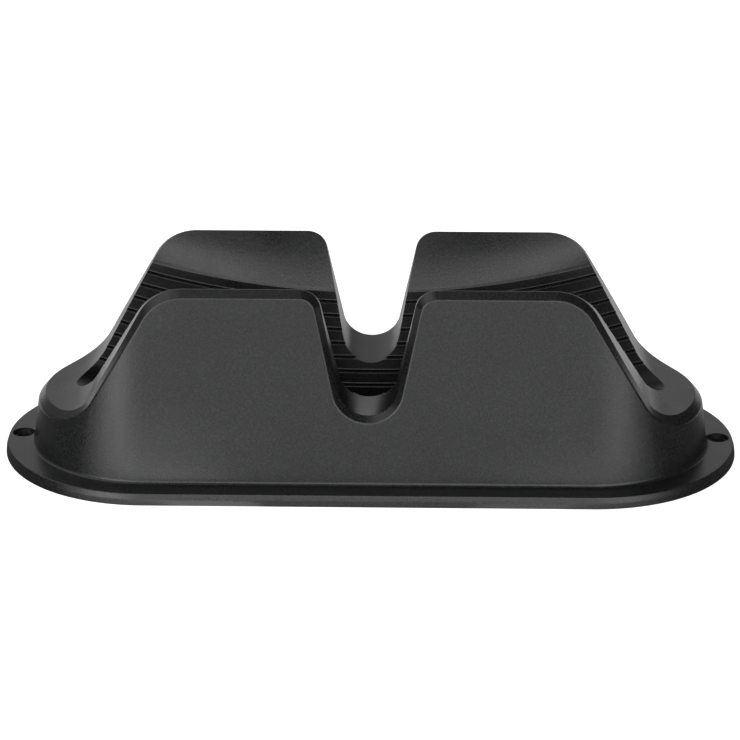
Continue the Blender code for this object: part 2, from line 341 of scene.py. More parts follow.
@dataclass
class Skirt:
    """Drafted wall with rounded ends, from its foot flange up to the chamfered rim and the ridge."""

    profile: SideProfile = field(default_factory=SideProfile)
    half_width: float = 84 * MM
    stand: float = 0.3 * MM
    flange_top: float = 6.8 * MM
    flange_draft: float = 1.3 * MM
    flange_round: float = 0.4 * MM
    flange_lean: float = 0.02 * MM
    fold_inset: float = 0.3 * MM
    fold_half: float = 0.5 * MM
    fold_under: float = 0.04 * MM
    fold_over: float = 0.14 * MM
    crown_round: float = 0.6 * MM
    crown_lean: float = 0.15 * MM
    skirt_inset: float = 14.2 * MM
    slope: float = math.tan(math.radians(8.25))
    cove: float = 2.0 * MM
    rim_inset: float = 5.2 * MM
    notch_rim_inset: float = 3.5 * MM
    rim_drop: float = 3.0 * MM
    end_pinch: float = 1.7 * MM
    end_rim_drop: float = 1.9 * MM
    rim_round: float = 0.9 * MM
    ridge_round: float = 0.35 * MM
    wall: float = 3 * MM
    top_share: float = 0.1

    @property
    def end_centre(self) -> float:
        """Distance from the middle to the centre of each rounded end."""
        return self.profile.reach - self.half_width

    def radius(self, height: float, inset: float) -> float:
        """Radius of the skirt's ends at a height, which is also its half width."""
        return self.half_width - self.skirt_inset - inset - (height - self.flange_top) * self.slope

    def ridge(self, along: float, height: float, inset: float) -> float:
        """Radius of the skirt's ends at the ridge, which is also the ridge's half width."""
        share = self.profile.notch_share(along, height + inset)
        return self.radius(height, inset) - self.rim_inset - (self.notch_rim_inset - self.rim_inset) * share

    def turn(self, along: float, guide: float) -> float:
        """Angle round the end of a place along a guide circle.

        Args:
            along: Place along the chock.
            guide: Radius of the circle.

        Returns:
            The angle, 0 before the end starts.
        """
        share = (along - self.end_centre) / guide
        if share > 1 - MERGE:
            return math.pi / 2
        return math.asin(max(0.0, share))

    def columns(self, inset: float, step: float, longest: float) -> list[Column]:
        """Find the upright lines of one quarter of the skirt.

        Args:
            inset: How far they lie inside the outer surface.
            step: Largest turn between two of them.
            longest: Longest stretch between two of them.

        Returns:
            Columns from the middle of the notch to the tip of the end.
        """
        path = self.profile.path(inset, step, longest)
        floor = path[-1].z
        guide = self.radius(floor, inset) - self.rim_inset
        start = self.turn(path[-1].x, guide)
        count = math.ceil((math.pi / 2 - start) / step)
        for k in range(1, count + 1):
            angle = start + (math.pi / 2 - start) * k / count
            path.append(Vector((self.end_centre + guide * math.sin(angle), 0, floor)))
        found = []
        for index, place in enumerate(path):
            before = path[index - 1] if index else Vector((-path[1].x, 0, path[1].z))
            after = path[min(len(path) - 1, index + 1)]
            run = (after - before).normalized()
            guide = self.ridge(place.x, place.z, inset)
            inward = Vector((run.z, 0, -run.x))
            found.append(Column(place.x, place.z, inward, guide, self.turn(place.x, guide)))
        return found

    def at(self, along: float, radius: float, height: float, guide: float, pinch: float = 0.0) -> Vector:
        """Place a point of the front right quarter on the rounded outline.

        Args:
            along: Place along the chock, measured on the guide circle at the ends.
            radius: Radius of the outline that the point lies on.
            height: Height of the point.
            guide: Radius of the guide circle.
            pinch: How much shorter the outline is at its tip.

        Returns:
            The point.
        """
        angle = self.turn(along, guide)
        if angle == 0.0:
            return Vector((along, -radius, height))
        near = radius - pinch * math.sin(angle) ** 2
        return Vector((self.end_centre + near * math.sin(angle), -near * math.cos(angle), height))

    def level(self, column: Column, height: float, radius: float, pinch: float = 0.0) -> Vector:
        """Point of a column on a level ring."""
        return self.at(column.along, radius, height, column.guide, pinch)

    def drop(self, column: Column) -> float:
        """How far the chamfer's rim lies below the ridge at a column."""
        return self.rim_drop + self.end_rim_drop * math.sin(column.turn) ** 2

    def chamfer(self, column: Column, share: float, inset: float) -> Vector:
        """Point of a column on the chamfer.

        Args:
            column: The column.
            share: 0 at the rim, 1 at the ridge; below 0 it runs down the wall, above 1 inwards over the top.
            inset: How far the surface lies inside the outer one.

        Returns:
            The point.
        """
        if share > 1:
            inner = column.guide * (1 - (share - 1) * self.top_share)
            return self.at(column.along, inner, column.height, column.guide)
        drop = self.drop(column) * (1 - min(share, 0))
        height = column.height + column.inward.z * drop
        wall = self.at(column.along + column.inward.x * drop, self.radius(height, inset), height,
                       column.guide, self.end_pinch)
        ridge = self.at(column.along, column.guide, column.height, column.guide)
        return wall.lerp(ridge, max(share, 0))

    def rounded_rim(self, column: Column, inset: float) -> list[Vector]:
        """Round the chamfer's two edges.

        Args:
            column: The column.
            inset: How far the surface lies inside the outer one.

        Returns:
            Points of the column from the wall over the chamfer to the ridge.
        """
        span = (self.chamfer(column, 1, inset) - self.chamfer(column, 0, inset)).length
        rim_share = self.rim_round / span
        ridge_share = self.ridge_round / span
        wall = self.chamfer(column, -self.rim_round / self.drop(column), inset)
        corner = self.chamfer(column, 0, inset)
        over = self.chamfer(column, rim_share, inset)
        under = self.chamfer(column, 1 - ridge_share, inset)
        ridge = self.chamfer(column, 1, inset)
        top = self.chamfer(column, 1 + self.ridge_round / column.guide / self.top_share, inset)
        return bend(wall, corner, over, 4) + bend(under, ridge, top, 3)


def bend(start: Vector, corner: Vector, end: Vector, count: int) -> list[Vector]:
    """Points of a corner rounded in a number of stretches, from its start to its end."""
    shares = [k / count for k in range(count + 1)]
    return [start.lerp(corner, share).lerp(corner.lerp(end, share), share) for share in shares]


class RingLoft:
    """Shell grown ring by ring: each ring is the last one extruded and set in its new place."""

    def __init__(self, columns: list[Column], place: Callable[[Column], Vector]) -> None:
        """Start with the lowest ring.

        Args:
            columns: Upright lines of the front right quarter.
            place: Gives a column's point in that quarter.
        """
        last = len(columns) - 1
        self.columns = columns
        quarter = list(range(last))
        self.around = [(i, 1, -1) for i in quarter] + [(last - i, 1, 1) for i in quarter]
        self.around += [(i, -1, 1) for i in quarter] + [(last - i, -1, -1) for i in quarter]
        self.bm = bmesh.new()
        self.index = self.bm.verts.layers.int.new("place_in_ring")
        made = bmesh.ops.create_circle(self.bm, cap_ends=False, segments=len(self.around), radius=1)["verts"]
        for number, vert in enumerate(made):
            vert[self.index] = number
        self.edges = list(self.bm.edges)
        self.first = list(self.bm.edges)
        self.put(made, place)

    def put(self, verts: list[bmesh.types.BMVert], place: Callable[[Column], Vector]) -> None:
        """Set vertices in place by their column, mirrored into their own quarter.

        Args:
            verts: Vertices of one ring.
            place: Gives a column's point in the front right quarter.
        """
        for vert in verts:
            column, x_sign, y_sign = self.around[vert[self.index]]
            point = place(self.columns[column])
            vert.co = (x_sign * point.x, -y_sign * point.y, point.z)

    def ring(self, place: Callable[[Column], Vector]) -> None:
        """Extrude the last ring to its next place.

        Args:
            place: Gives a column's point in the front right quarter.
        """
        made = bmesh.ops.extrude_edge_only(self.bm, edges=self.edges)["geom"]
        self.edges = [item for item in made if isinstance(item, bmesh.types.BMEdge)]
        self.put([item for item in made if isinstance(item, bmesh.types.BMVert)], place)

    def cover(self, dip: Callable[[float, float], float], rows: int) -> None:
        """Close the top with rows that run from the front ridge to the back one.

        Args:
            dip: How much lower the middle lies, from a place along and its height.
            rows: Number of rows from each ridge to the middle.
        """
        chain = [e for e in self.edges if (e.verts[0].co + e.verts[1].co).y < 0]
        places = {}
        for edge in chain:
            for vert in edge.verts:
                places[vert[self.index]] = vert.co.copy()
        for row in range(1, 2 * rows + 1):
            made = bmesh.ops.extrude_edge_only(self.bm, edges=chain)["geom"]
            chain = [item for item in made if isinstance(item, bmesh.types.BMEdge)]
            share = 1 - row / rows
            for vert in (item for item in made if isinstance(item, bmesh.types.BMVert)):
                start = places[vert[self.index]]
                sink = dip(start.x, start.z) * (1 - abs(share))
                vert.co = (start.x, start.y * share, start.z - sink)

    def mesh(self, name: str) -> bpy.types.Mesh:
        """Close the underside and turn the loft into a mesh.

        Args:
            name: Name of the mesh.

        Returns:
            The mesh.
        """
        bmesh.ops.contextual_create(self.bm, geom=self.first)
        bmesh.ops.dissolve_degenerate(self.bm, dist=TINY, edges=self.bm.edges)
        return finished_mesh(self.bm, name)


@dataclass
class WheelChannel:
    """Long channel for the wheel: its section is spun about the axle, and it flares out to the ridges."""

    skirt: Skirt
    slot_edge: float = 45.9 * MM
    floor: float = 11.1 * MM
    gauge_depth: float = 30.7 * MM
    gauge_width: float = 52 * MM
    rib_count: int = 8
    lowest_rib: float = 10.4 * MM
    rib_margin: float = 6.4 * MM
    rib_step: float = 0.95 * MM
    rib_fall: float = 1.2 * MM
    groove_width: float = 0.8 * MM
    groove_depth: float = 1.2 * MM
    lip_width: float = 0.04 * MM
    lip_drop: float = 0.05 * MM
    groove_lean: float = 0.1 * MM
    bead_centre: float = 0.8 * MM
    bead_half: float = 0.36 * MM
    bead_height: float = 0.27 * MM
    flare_depth: float = 67.2 * MM
    flare_spread: float = 7.5 * MM
    flare_least: float = 4 * MM
    flare_blend: float = 1.0 * MM
    flare_ledge: float = 0.35 * MM
    flare_bow: float = 0.7
    ridge_land: float = 0.8 * MM
    beyond: float = 15 * MM
    stations: tuple[float, ...] = (0.2, 0.4, 0.6, 0.8, 1.0, 1.15, 1.3, 1.45, 1.6, 1.8, 2.0, 3.0)
    skin_fall: float = 0.35
    overrun: float = math.radians(1.5)
    floor_step: float = math.radians(5)
    longest: float = 20 * MM
    bend_share: float = 0.8
    bend_ledge: float = 0.2

    @property
    def bottom(self) -> float:
        """Find how far the channel's floor lies from the axle.

        Returns:
            Radius with which the floor runs out at the end floors.
        """
        reach = self.skirt.profile.reach - self.slot_edge
        rise = self.skirt.profile.end_floor - self.floor
        return (reach ** 2 + rise ** 2) / (2 * rise)

    @property
    def axle(self) -> float:
        """Height of the axle that the channel's section is turned about."""
        return self.floor + self.bottom

    @property
    def ridge_half(self) -> float:
        """Half width of the flare's top edge."""
        height = self.skirt.profile.height
        return self.skirt.ridge(self.skirt.profile.reach, height, 0) - self.ridge_land

    @property
    def rib_pitch(self) -> float:
        """Distance from rib to rib."""
        return (self.flare_depth - self.rib_margin - self.lowest_rib) / (self.rib_count - 1)

    @property
    def floor_radius(self) -> float:
        """Find how round the floor is across the channel.

        Returns:
            Radius with which the floor ends at the lowest ledge's inner edge.
        """
        edge = self.half_width(self.bottom - self.lowest_rib) - self.rib_step
        rise = self.lowest_rib - self.rib_fall
        return (edge ** 2 + rise ** 2) / (2 * rise)

    @property
    def floor_turn(self) -> float:
        """Angle of the round floor from its middle to its edge."""
        return math.acos(1 - (self.lowest_rib - self.rib_fall) / self.floor_radius)

    @property
    def lean(self) -> float:
        """Slope of the plain wall, from the gauge width out to the flare."""
        spread = self.ridge_half - self.flare_spread - self.gauge_width / 2
        return spread / (self.flare_depth - self.gauge_depth)

    def half_width(self, radius: float) -> float:
        """Half width of the plain wall at a distance from the axle."""
        return self.gauge_width / 2 - self.lean * (radius - self.bottom + self.gauge_depth)

    def wall_points(self, ribbed: bool) -> list[tuple[float, float]]:
        """Points of one wall above the round floor.

        Args:
            ribbed: Whether the wall has its ledges and grooves.

        Returns:
            Radius and half width of each point, from the floor up to the flare.
        """
        found = []
        lowest = self.bottom - self.lowest_rib
        if ribbed:
            for rib in range(self.rib_count):
                radius = lowest - rib * self.rib_pitch
                found += self.rib_points(radius)[1 if rib == 0 else 0:]
        else:
            found.append((lowest, self.half_width(lowest)))
        blend_start = self.bottom - self.flare_depth + self.flare_blend
        found.append((blend_start, self.half_width(blend_start) - self.flare_ledge))
        return found

    def rib_points(self, radius: float) -> list[tuple[float, float]]:
        """Points of one rib: a bead, a groove and a second bead, with a small ledge across the groove.

        Args:
            radius: Distance of the groove's middle from the axle.

        Returns:
            Radius and half width of each point, from below the rib to above it.
        """
        lip = self.groove_width / 2
        found = []
        for side in (1, -1):
            base = self.half_width(radius) - side * self.rib_step
            bead = [(self.rib_fall, base)]
            for share in (-0.5, 0.0, 0.5):
                out = self.bead_height * (1 + math.cos(math.pi * share)) / 2
                bead.append((self.bead_centre - share * self.bead_half, base - out))
            bead += [(lip + self.lip_width, base), (lip, base + self.lip_drop)]
            bead.append((lip - self.groove_lean, base + self.groove_depth))
            found += [(radius + side * along, width) for along, width in bead[::side]]
        return found

    def flare_point(self, angle: float, share: float) -> tuple[float, float]:
        """Radius and half width of a point of the flare.

        Args:
            angle: Angle about the axle.
            share: 0 where the wall starts to bend outwards, 1 where the bend ends, 2 at the ridge, 3 well
                above it.

        Returns:
            Radius and half width.
        """
        flare = self.bottom - self.flare_depth
        width = self.half_width(flare)
        ridge = min((self.axle - self.skirt.profile.height) / math.cos(angle), flare - self.flare_least)
        span = flare - ridge
        spread = self.ridge_half - width
        reach = min(self.flare_blend, span * self.bend_share)

        def bowed(part: float) -> Vector:
            """Point of the bowed flare, from 0 at its foot to 1 at the ridge."""
            return Vector((flare - span * part, width + spread * part * (1 + self.flare_bow * (1 - part)), 0))

        bent = bowed(reach / span)
        if share <= 1:
            low = flare + self.flare_blend
            start = Vector((low, self.half_width(low) - self.flare_ledge, 0))
            corner = Vector((flare, width - self.flare_ledge * self.bend_ledge, 0))
            place = start.lerp(corner, share).lerp(corner.lerp(bent, share), share)
        elif share <= 2:
            place = bowed(reach / span + (1 - reach / span) * (share - 1))
        else:
            onward = Vector((-1, spread / span * (1 - self.flare_bow), 0))
            place = bowed(1) + onward * self.beyond * (share - 2)
        return place.x, place.y

    def cutter(self, name: str, skin: float, ribbed: bool, steps: int) -> bpy.types.Object:
        """Build the space of the channel, or of the channel with its wall.

        Args:
            name: Name of the object.
            skin: Thickness added all round.
            ribbed: Whether the walls have their ledges and grooves.
            steps: Number of steps along the channel.

        Returns:
            A closed solid.
        """
        drop = self.axle - self.skirt.profile.end_floor
        sweep = math.acos(drop / (self.bottom + skin)) + self.overrun
        centre = Vector((0, 0, self.floor + self.floor_radius))
        pen = Pen(Vector((0, 0, self.floor)), Plane.SECTION)
        pen.arc(centre, self.floor_turn, self.floor_step)
        for radius, width in self.wall_points(ribbed):
            pen.line(Vector((0, width, self.axle - radius)))
        wall = pen.points(self.longest)
        bm = bmesh.new()
        share_of = bm.verts.layers.float.new("flare_share")
        section = []
        for point in wall:
            aside, sunk = (skin, skin * self.skin_fall) if point.y > MERGE else (0, skin)
            section.append(bm.verts.new((0, point.y + aside, point.z - sunk)))
        for share in self.stations:
            vert = bm.verts.new(self.axle_point(0, *self.flare_point(0, share), skin))
            vert[share_of] = share
            section.append(vert)
        edges = [bm.edges.new(pair) for pair in zip(section, section[1:])]
        turn = Matrix.Rotation(sweep, 4, "Y")
        bmesh.ops.rotate(bm, cent=(0, 0, self.axle), matrix=turn, verts=section)
        bmesh.ops.spin(bm, geom=section + edges, cent=(0, 0, self.axle), axis=(0, 1, 0), angle=-2 * sweep,
                       steps=steps, use_merge=False, use_duplicate=False)
        self.place_flare(bm, share_of, skin)
        bmesh.ops.mirror(bm, geom=bm.verts[:] + bm.edges[:] + bm.faces[:], axis="Y", merge_dist=TINY)
        bmesh.ops.remove_doubles(bm, verts=bm.verts, dist=MERGE)
        last = self.stations[-1]
        rails = [e for e in bm.edges if e.is_boundary and all(v[share_of] == last for v in e.verts)]
        bmesh.ops.bridge_loops(bm, edges=rails)
        bmesh.ops.holes_fill(bm, edges=[e for e in bm.edges if e.is_boundary], sides=0)
        return add_object(finished_mesh(bm, name))

    def axle_point(self, angle: float, radius: float, width: float, skin: float) -> Vector:
        """Point of the channel's surface from its angle, radius and half width."""
        out = radius + skin * self.skin_fall
        return Vector((-out * math.sin(angle), width + skin, self.axle - out * math.cos(angle)))

    def place_flare(self, bm: bmesh.types.BMesh, share_of: bmesh.types.BMLayerItem, skin: float) -> None:
        """Set the flare's vertices where their station puts them.

        Args:
            bm: The swept section.
            share_of: Layer that holds each flare vertex's share.
            skin: Thickness added all round.
        """
        for vert in bm.verts:
            share = vert[share_of]
            if share:
                offset = vert.co - Vector((0, 0, self.axle))
                angle = math.atan2(-offset.x, -offset.z)
                vert.co = self.axle_point(angle, *self.flare_point(angle, share), skin)


@dataclass
class ScrewHole:
    """Screw hole in the flange with its sunk seat."""

    edge: float = 9.4 * MM
    diameter: float = 7.6 * MM
    seat: float = 12.6 * MM
    seat_depth: float = 2.0 * MM
    seat_clear: float = 20 * MM

    def cutters(self, skirt: Skirt, end: End) -> list[bpy.types.Object]:
        """Build what the hole and its seat take away.

        Args:
            skirt: Skirt whose flange the hole is in.
            end: End that the hole is at.

        Returns:
            The hole and the seat.
        """
        name = end.name.lower()
        foot = Vector((end.value * (skirt.profile.reach - self.edge), 0, -FAR))
        seat_foot = Vector((foot.x, 0, skirt.flange_top - self.seat_depth))
        return [cylinder_object(f"screw_hole_{name}", self.diameter / 2, foot, 2 * FAR),
                cylinder_object(f"screw_seat_{name}", self.seat / 2, seat_foot, self.seat_clear)]


@dataclass
class RubberFeet:
    """Rubber pads under the flange, straight ones on the long sides and curved ones round the ends."""

    skirt: Skirt
    width: float = 9 * MM
    thick: float = 2.4 * MM
    gap: float = 0.3 * MM
    length: float = 74 * MM
    centre: float = 62 * MM
    start: float = math.radians(18)
    end: float = math.radians(66)
    edge_round: float = 0.5 * MM
    open_below: float = 10 * MM
    long_step: float = math.radians(3)
    tip_step: float = math.radians(15)
    sharp: float = math.radians(40)

    @property
    def middle(self) -> float:
        """Distance of the pads' middle line from the centre line."""
        return self.skirt.half_width - (self.skirt.skirt_inset + self.skirt.wall) / 2

    def outline(self, side: Side, end: End, curved: bool, grow: float) -> bmesh.types.BMesh:
        """Draw a pad's outline on the ground.

        Args:
            side: Long side that it belongs to.
            end: End that it belongs to.
            curved: Whether it goes round the end.
            grow: How much wider than the pad it is all round.

        Returns:
            A bmesh with one face.
        """
        half = self.width / 2 + grow
        if curved:
            hub = Vector((self.skirt.end_centre, 0, 0))
            arm = Vector((0, -1, 0))
            first = Matrix.Rotation(self.start, 3, "Z") @ arm
            last = Matrix.Rotation(self.end, 3, "Z") @ arm
            sweep = self.end - self.start
            pen = Pen(hub + first * (self.middle + half), Plane.GROUND)
            pen.arc(hub, sweep, self.long_step)
            pen.arc(hub + last * self.middle, math.pi, self.tip_step)
            pen.arc(hub, -sweep, self.long_step)
            pen.arc(hub + first * self.middle, math.pi, self.tip_step)
        else:
            reach = (self.length - self.width) / 2
            low = Vector((self.centre - reach, -self.middle, 0))
            high = Vector((self.centre + reach, -self.middle, 0))
            pen = Pen(low + Vector((0, -half, 0)), Plane.GROUND)
            pen.line(high + Vector((0, -half, 0)))
            pen.arc(high, math.pi, self.tip_step)
            pen.line(low + Vector((0, half, 0)))
            pen.arc(low, math.pi, self.tip_step)
        bm = pen.bm
        bmesh.ops.remove_doubles(bm, verts=bm.verts, dist=MERGE)
        bmesh.ops.contextual_create(bm, geom=bm.edges[:])
        bmesh.ops.scale(bm, vec=(end.value, -side.value, 1), verts=bm.verts)
        return bm

    def solid(self, name: str, bm: bmesh.types.BMesh, low: float, high: float,
              rounding: float) -> bpy.types.Object:
        """Raise an outline into a solid and round its lower edge.

        Args:
            name: Name of the object.
            bm: Outline with one face, which is freed.
            low: Height of the underside.
            high: Height of the top.
            rounding: Radius of the lower edge, or 0.

        Returns:
            The solid.
        """
        bmesh.ops.translate(bm, vec=(0, 0, high), verts=bm.verts)
        made = bmesh.ops.extrude_face_region(bm, geom=bm.faces[:])["geom"]
        lower = [item for item in made if isinstance(item, bmesh.types.BMVert)]
        bmesh.ops.translate(bm, vec=(0, 0, low - high), verts=lower)
        if rounding:
            rim = [e for e in bm.edges if all(v in lower for v in e.verts)]
            bmesh.ops.bevel(bm, geom=rim, offset=rounding, offset_type="OFFSET", affect="EDGES", segments=3,
                            profile=0.5, material=-1)
        return add_object(finished_mesh(bm, name))

    def each(self) -> list[tuple[str, Side, End, bool]]:
        """List the pads.

        Returns:
            Name, long side and end of each pad, and whether it is curved.
        """
        found = []
        for kind, curved in (("side_pad", False), ("end_pad", True)):
            for side in Side:
                for end in End:
                    found.append((f"{kind}_{side.name.lower()}_{end.name.lower()}", side, end, curved))
        return found

    def pockets(self) -> list[bpy.types.Object]:
        """Spaces that the pads sit in."""
        return [self.solid(f"pocket_{name}", self.outline(side, end, curved, self.gap), -self.open_below,
                           self.thick + self.gap, 0) for name, side, end, curved in self.each()]

    def build(self, finish: bpy.types.Material) -> list[bpy.types.Object]:
        """Build the pads.

        Args:
            finish: Material of the pads.

        Returns:
            The pads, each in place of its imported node.
        """
        made = []
        for name, side, end, curved in self.each():
            outline = self.outline(side, end, curved, 0)
            pad = self.solid(f"rubber_{name}", outline, 0, self.thick, self.edge_round)
            pad.data.materials.append(finish)
            smooth(pad, self.sharp)
            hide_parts(name)
            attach(pad, "root")
            LOG.info("%s: %d faces", pad.name, len(pad.data.polygons))
            made.append(pad)
        return made


def smooth(piece: bpy.types.Object, sharp: float) -> None:
    """Shade a piece smooth but for its sharp edges.

    Args:
        piece: The piece.
        sharp: Angle past which an edge stays sharp.
    """
    piece.data.shade_smooth()
    piece.data.set_sharp_from_angle(angle=sharp)
    step = piece.modifiers.new("even_normals", "WEIGHTED_NORMAL")
    step.mode = "FACE_AREA"
    step.weight = 50
    step.keep_sharp = True


@dataclass
class MouldedShell:
    """The one moulding: skirt, channel, notch, screw holes and pad pockets.

    The hollow under it, with its webs, is cut as well but comes out empty, so the shell is solid inside.
    """

    skirt: Skirt
    channel: WheelChannel
    hole: ScrewHole
    feet: RubberFeet
    web: float = 2.2 * MM
    web_places: tuple[float, ...] = (44 * MM, 84 * MM, 124 * MM)
    web_clear: float = 5 * MM
    open_below: float = 10 * MM
    # Limits of the channel faces that get the darker copy of the plastic, which paints shade there.
    shade_mask_clear: float = 0.2 * MM
    shade_mask_under: float = 0.3 * MM
    shade_mask_facing: float = 0.3
    shade_mask_rising: float = 0.2
    shade_mask_upright: float = 0.36
    outer_step: float = math.radians(3)
    outer_longest: float = 6 * MM
    inner_step: float = math.radians(6)
    inner_longest: float = 14 * MM
    channel_steps: int = 90
    wall_steps: int = 40
    sharp: float = math.radians(28)

    def outside(self) -> bpy.types.Object:
        """Loft the outer surface from the flange up to the ridge, and close its top.

        Returns:
            A closed solid.
        """
        skirt = self.skirt
        columns = skirt.columns(0, self.outer_step, self.outer_longest)
        low = skirt.stand
        over = low + skirt.flange_round
        top = skirt.flange_top
        under = top - skirt.crown_round
        edge = skirt.half_width
        half = (low + top) / 2
        fold = edge - skirt.fold_inset
        fold_low = (fold + skirt.fold_under, half - skirt.fold_half)
        fold_high = (fold - skirt.fold_over, half + skirt.fold_half)
        crown = edge - skirt.flange_draft
        foot = skirt.radius(top, 0)
        cove_top = top + skirt.cove
        wall = (skirt.radius(cove_top, 0), cove_top)
        corners = (
            ((edge - skirt.flange_round, low), (edge, low), (edge - skirt.flange_lean, over), 3, 0.0),
            (fold_low, (fold, half), fold_high, 2, 0.0),
            ((crown + skirt.crown_lean, under), (crown, top), (crown - skirt.crown_round, top), 3, 0.0),
            ((foot + skirt.cove, top), (foot, top), wall, 6, skirt.end_pinch))
        rings = []
        for start, corner, end, count, pinch in corners:
            points = bend(Vector((*start, 0)), Vector((*corner, 0)), Vector((*end, 0)), count)
            rings += [(point.y, point.x, pinch) for point in points]
        height, radius, pinch = rings[0]
        loft = RingLoft(columns, lambda c: skirt.level(c, height, radius, pinch))
        for height, radius, pinch in rings[1:]:
            loft.ring(lambda c, h=height, r=radius, p=pinch: skirt.level(c, h, r, p))
        rims = {id(c): skirt.rounded_rim(c, 0) for c in columns}
        for number in range(len(next(iter(rims.values())))):
            loft.ring(lambda c, n=number: rims[id(c)][n])
        loft.cover(skirt.profile.dip, 3)
        return add_object(loft.mesh("moulded_shell"))

    def cavity(self) -> bpy.types.Object:
        """Build the open space under the shell, less the channel's wall and the webs.

        Known fault: nothing is left of the space once the web at 84 mm on the left is taken out of it,
        though the wall and the webs before it come out of it as they should.

        Returns:
            The space, which is empty because of that fault.
        """
        skirt = self.skirt
        columns = skirt.columns(skirt.wall, self.inner_step, self.inner_longest)
        base = skirt.stand - self.open_below
        radius = skirt.radius(base, skirt.wall)
        loft = RingLoft(columns, lambda c: skirt.level(c, base, radius, skirt.end_pinch))
        loft.ring(lambda c: skirt.chamfer(c, 0, skirt.wall))
        loft.ring(lambda c: skirt.chamfer(c, 1, skirt.wall))
        loft.cover(skirt.profile.dip, 1)
        space = add_object(loft.mesh("cavity"))
        cutters = [self.channel.cutter("channel_wall", skirt.wall, False, self.wall_steps)]
        for place in self.web_places:
            for end in End:
                middle = end.value * place
                low = Vector((middle - self.web / 2, -FAR, skirt.stand + self.web_clear))
                high = Vector((middle + self.web / 2, FAR, FAR))
                cutters.append(box_object(f"web_{end.name.lower()}_{round(place / MM)}", low, high))
        carve(space, cutters)
        return space

    def in_painted_channel_shade(self, face: bpy.types.MeshPolygon) -> bool:
        """Tell whether a face gets the darker, less shiny copy of the plastic that paints shade into the
        channel.

        Args:
            face: Face of the shell.

        Returns:
            Whether it lies on the channel's floor or on its wall between the ribs.
        """
        place = face.center
        channel = self.channel
        radius = math.hypot(place.x, channel.axle - place.z)
        depth = channel.bottom - radius
        if not -self.shade_mask_under < depth < channel.flare_depth - channel.flare_blend / 2:
            return False
        past = abs(place.y) - channel.half_width(radius)
        facing = -face.normal.y * math.copysign(1, place.y)
        if depth < channel.lowest_rib - channel.rib_fall:
            below = place.z < self.skirt.profile.end_floor - self.shade_mask_clear
            rising = -face.normal.x * math.copysign(1, place.x) > self.shade_mask_rising
            return (below or rising or facing > self.shade_mask_facing) and past < channel.rib_step
        upright = abs(face.normal.z) < self.shade_mask_upright
        return abs(past) < 2 * channel.rib_step and facing > self.shade_mask_facing and upright

    def build(self, finish: bpy.types.Material, channel_shade_finish: bpy.types.Material) -> bpy.types.Object:
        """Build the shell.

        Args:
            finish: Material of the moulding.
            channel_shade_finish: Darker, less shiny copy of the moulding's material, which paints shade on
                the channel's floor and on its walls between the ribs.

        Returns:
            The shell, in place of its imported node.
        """
        shell = self.outside()
        cutters = [self.channel.cutter("channel", 0, True, self.channel_steps), self.cavity()]
        for end in End:
            cutters += self.hole.cutters(self.skirt, end)
        cutters += self.feet.pockets()
        carve(shell, cutters)
        shell.data.materials.clear()
        shell.data.materials.append(finish)
        shell.data.materials.append(channel_shade_finish)
        # Faces deep in the channel get the darker copy of the plastic: painted shade.
        for face in shell.data.polygons:
            face.material_index = 1 if self.in_painted_channel_shade(face) else 0
        smooth(shell, self.sharp)
        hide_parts("chock_shell")
        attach(shell, "root")
        LOG.info("%s: %d faces", shell.name, len(shell.data.polygons))
        return shell


class Nodes:
    """Short way to add and join shader nodes."""

    def __init__(self, tree: bpy.types.NodeTree) -> None:
        """Take the tree that the nodes go into."""
        self.tree = tree
        self.column = 0

    def add(self, kind: str, inputs: dict[str | int, object] | None = None,
            **settings: object) -> bpy.types.Node:
        """Add a node.

        Args:
            kind: Name of the node type.
            inputs: Socket names or numbers with a value, or with an output to join.
            settings: Properties of the node.

        Returns:
            The node.
        """
        made = self.tree.nodes.new(kind)
        made.location = (self.column, 0)
        self.column += NODE_SPACING
        for name, value in settings.items():
            setattr(made, name, value)
        for name, value in (inputs or {}).items():
            if isinstance(value, bpy.types.NodeSocket):
                self.tree.links.new(value, made.inputs[name])
            else:
                made.inputs[name].default_value = value
        return made

    def span(self, value: bpy.types.NodeSocket, low: float, high: float, to_low: float, to_high: float,
             **settings: object) -> bpy.types.NodeSocket:
        """Stretch a value from one range to another."""
        return self.add("ShaderNodeMapRange", {"Value": value, 1: low, 2: high, 3: to_low, 4: to_high},
                        **settings).outputs[0]

    def mix(self, share: object, first: object, second: object, **settings: object) -> bpy.types.NodeSocket:
        """Mix two colours."""
        return self.add("ShaderNodeMix", {"Factor": share, 6: first, 7: second}, data_type="RGBA",
                        **settings).outputs[2]

    def math(self, operation: str, *values: object) -> bpy.types.NodeSocket:
        """Reckon with two or three values."""
        return self.add("ShaderNodeMath", dict(enumerate(values)), operation=operation).outputs[0]


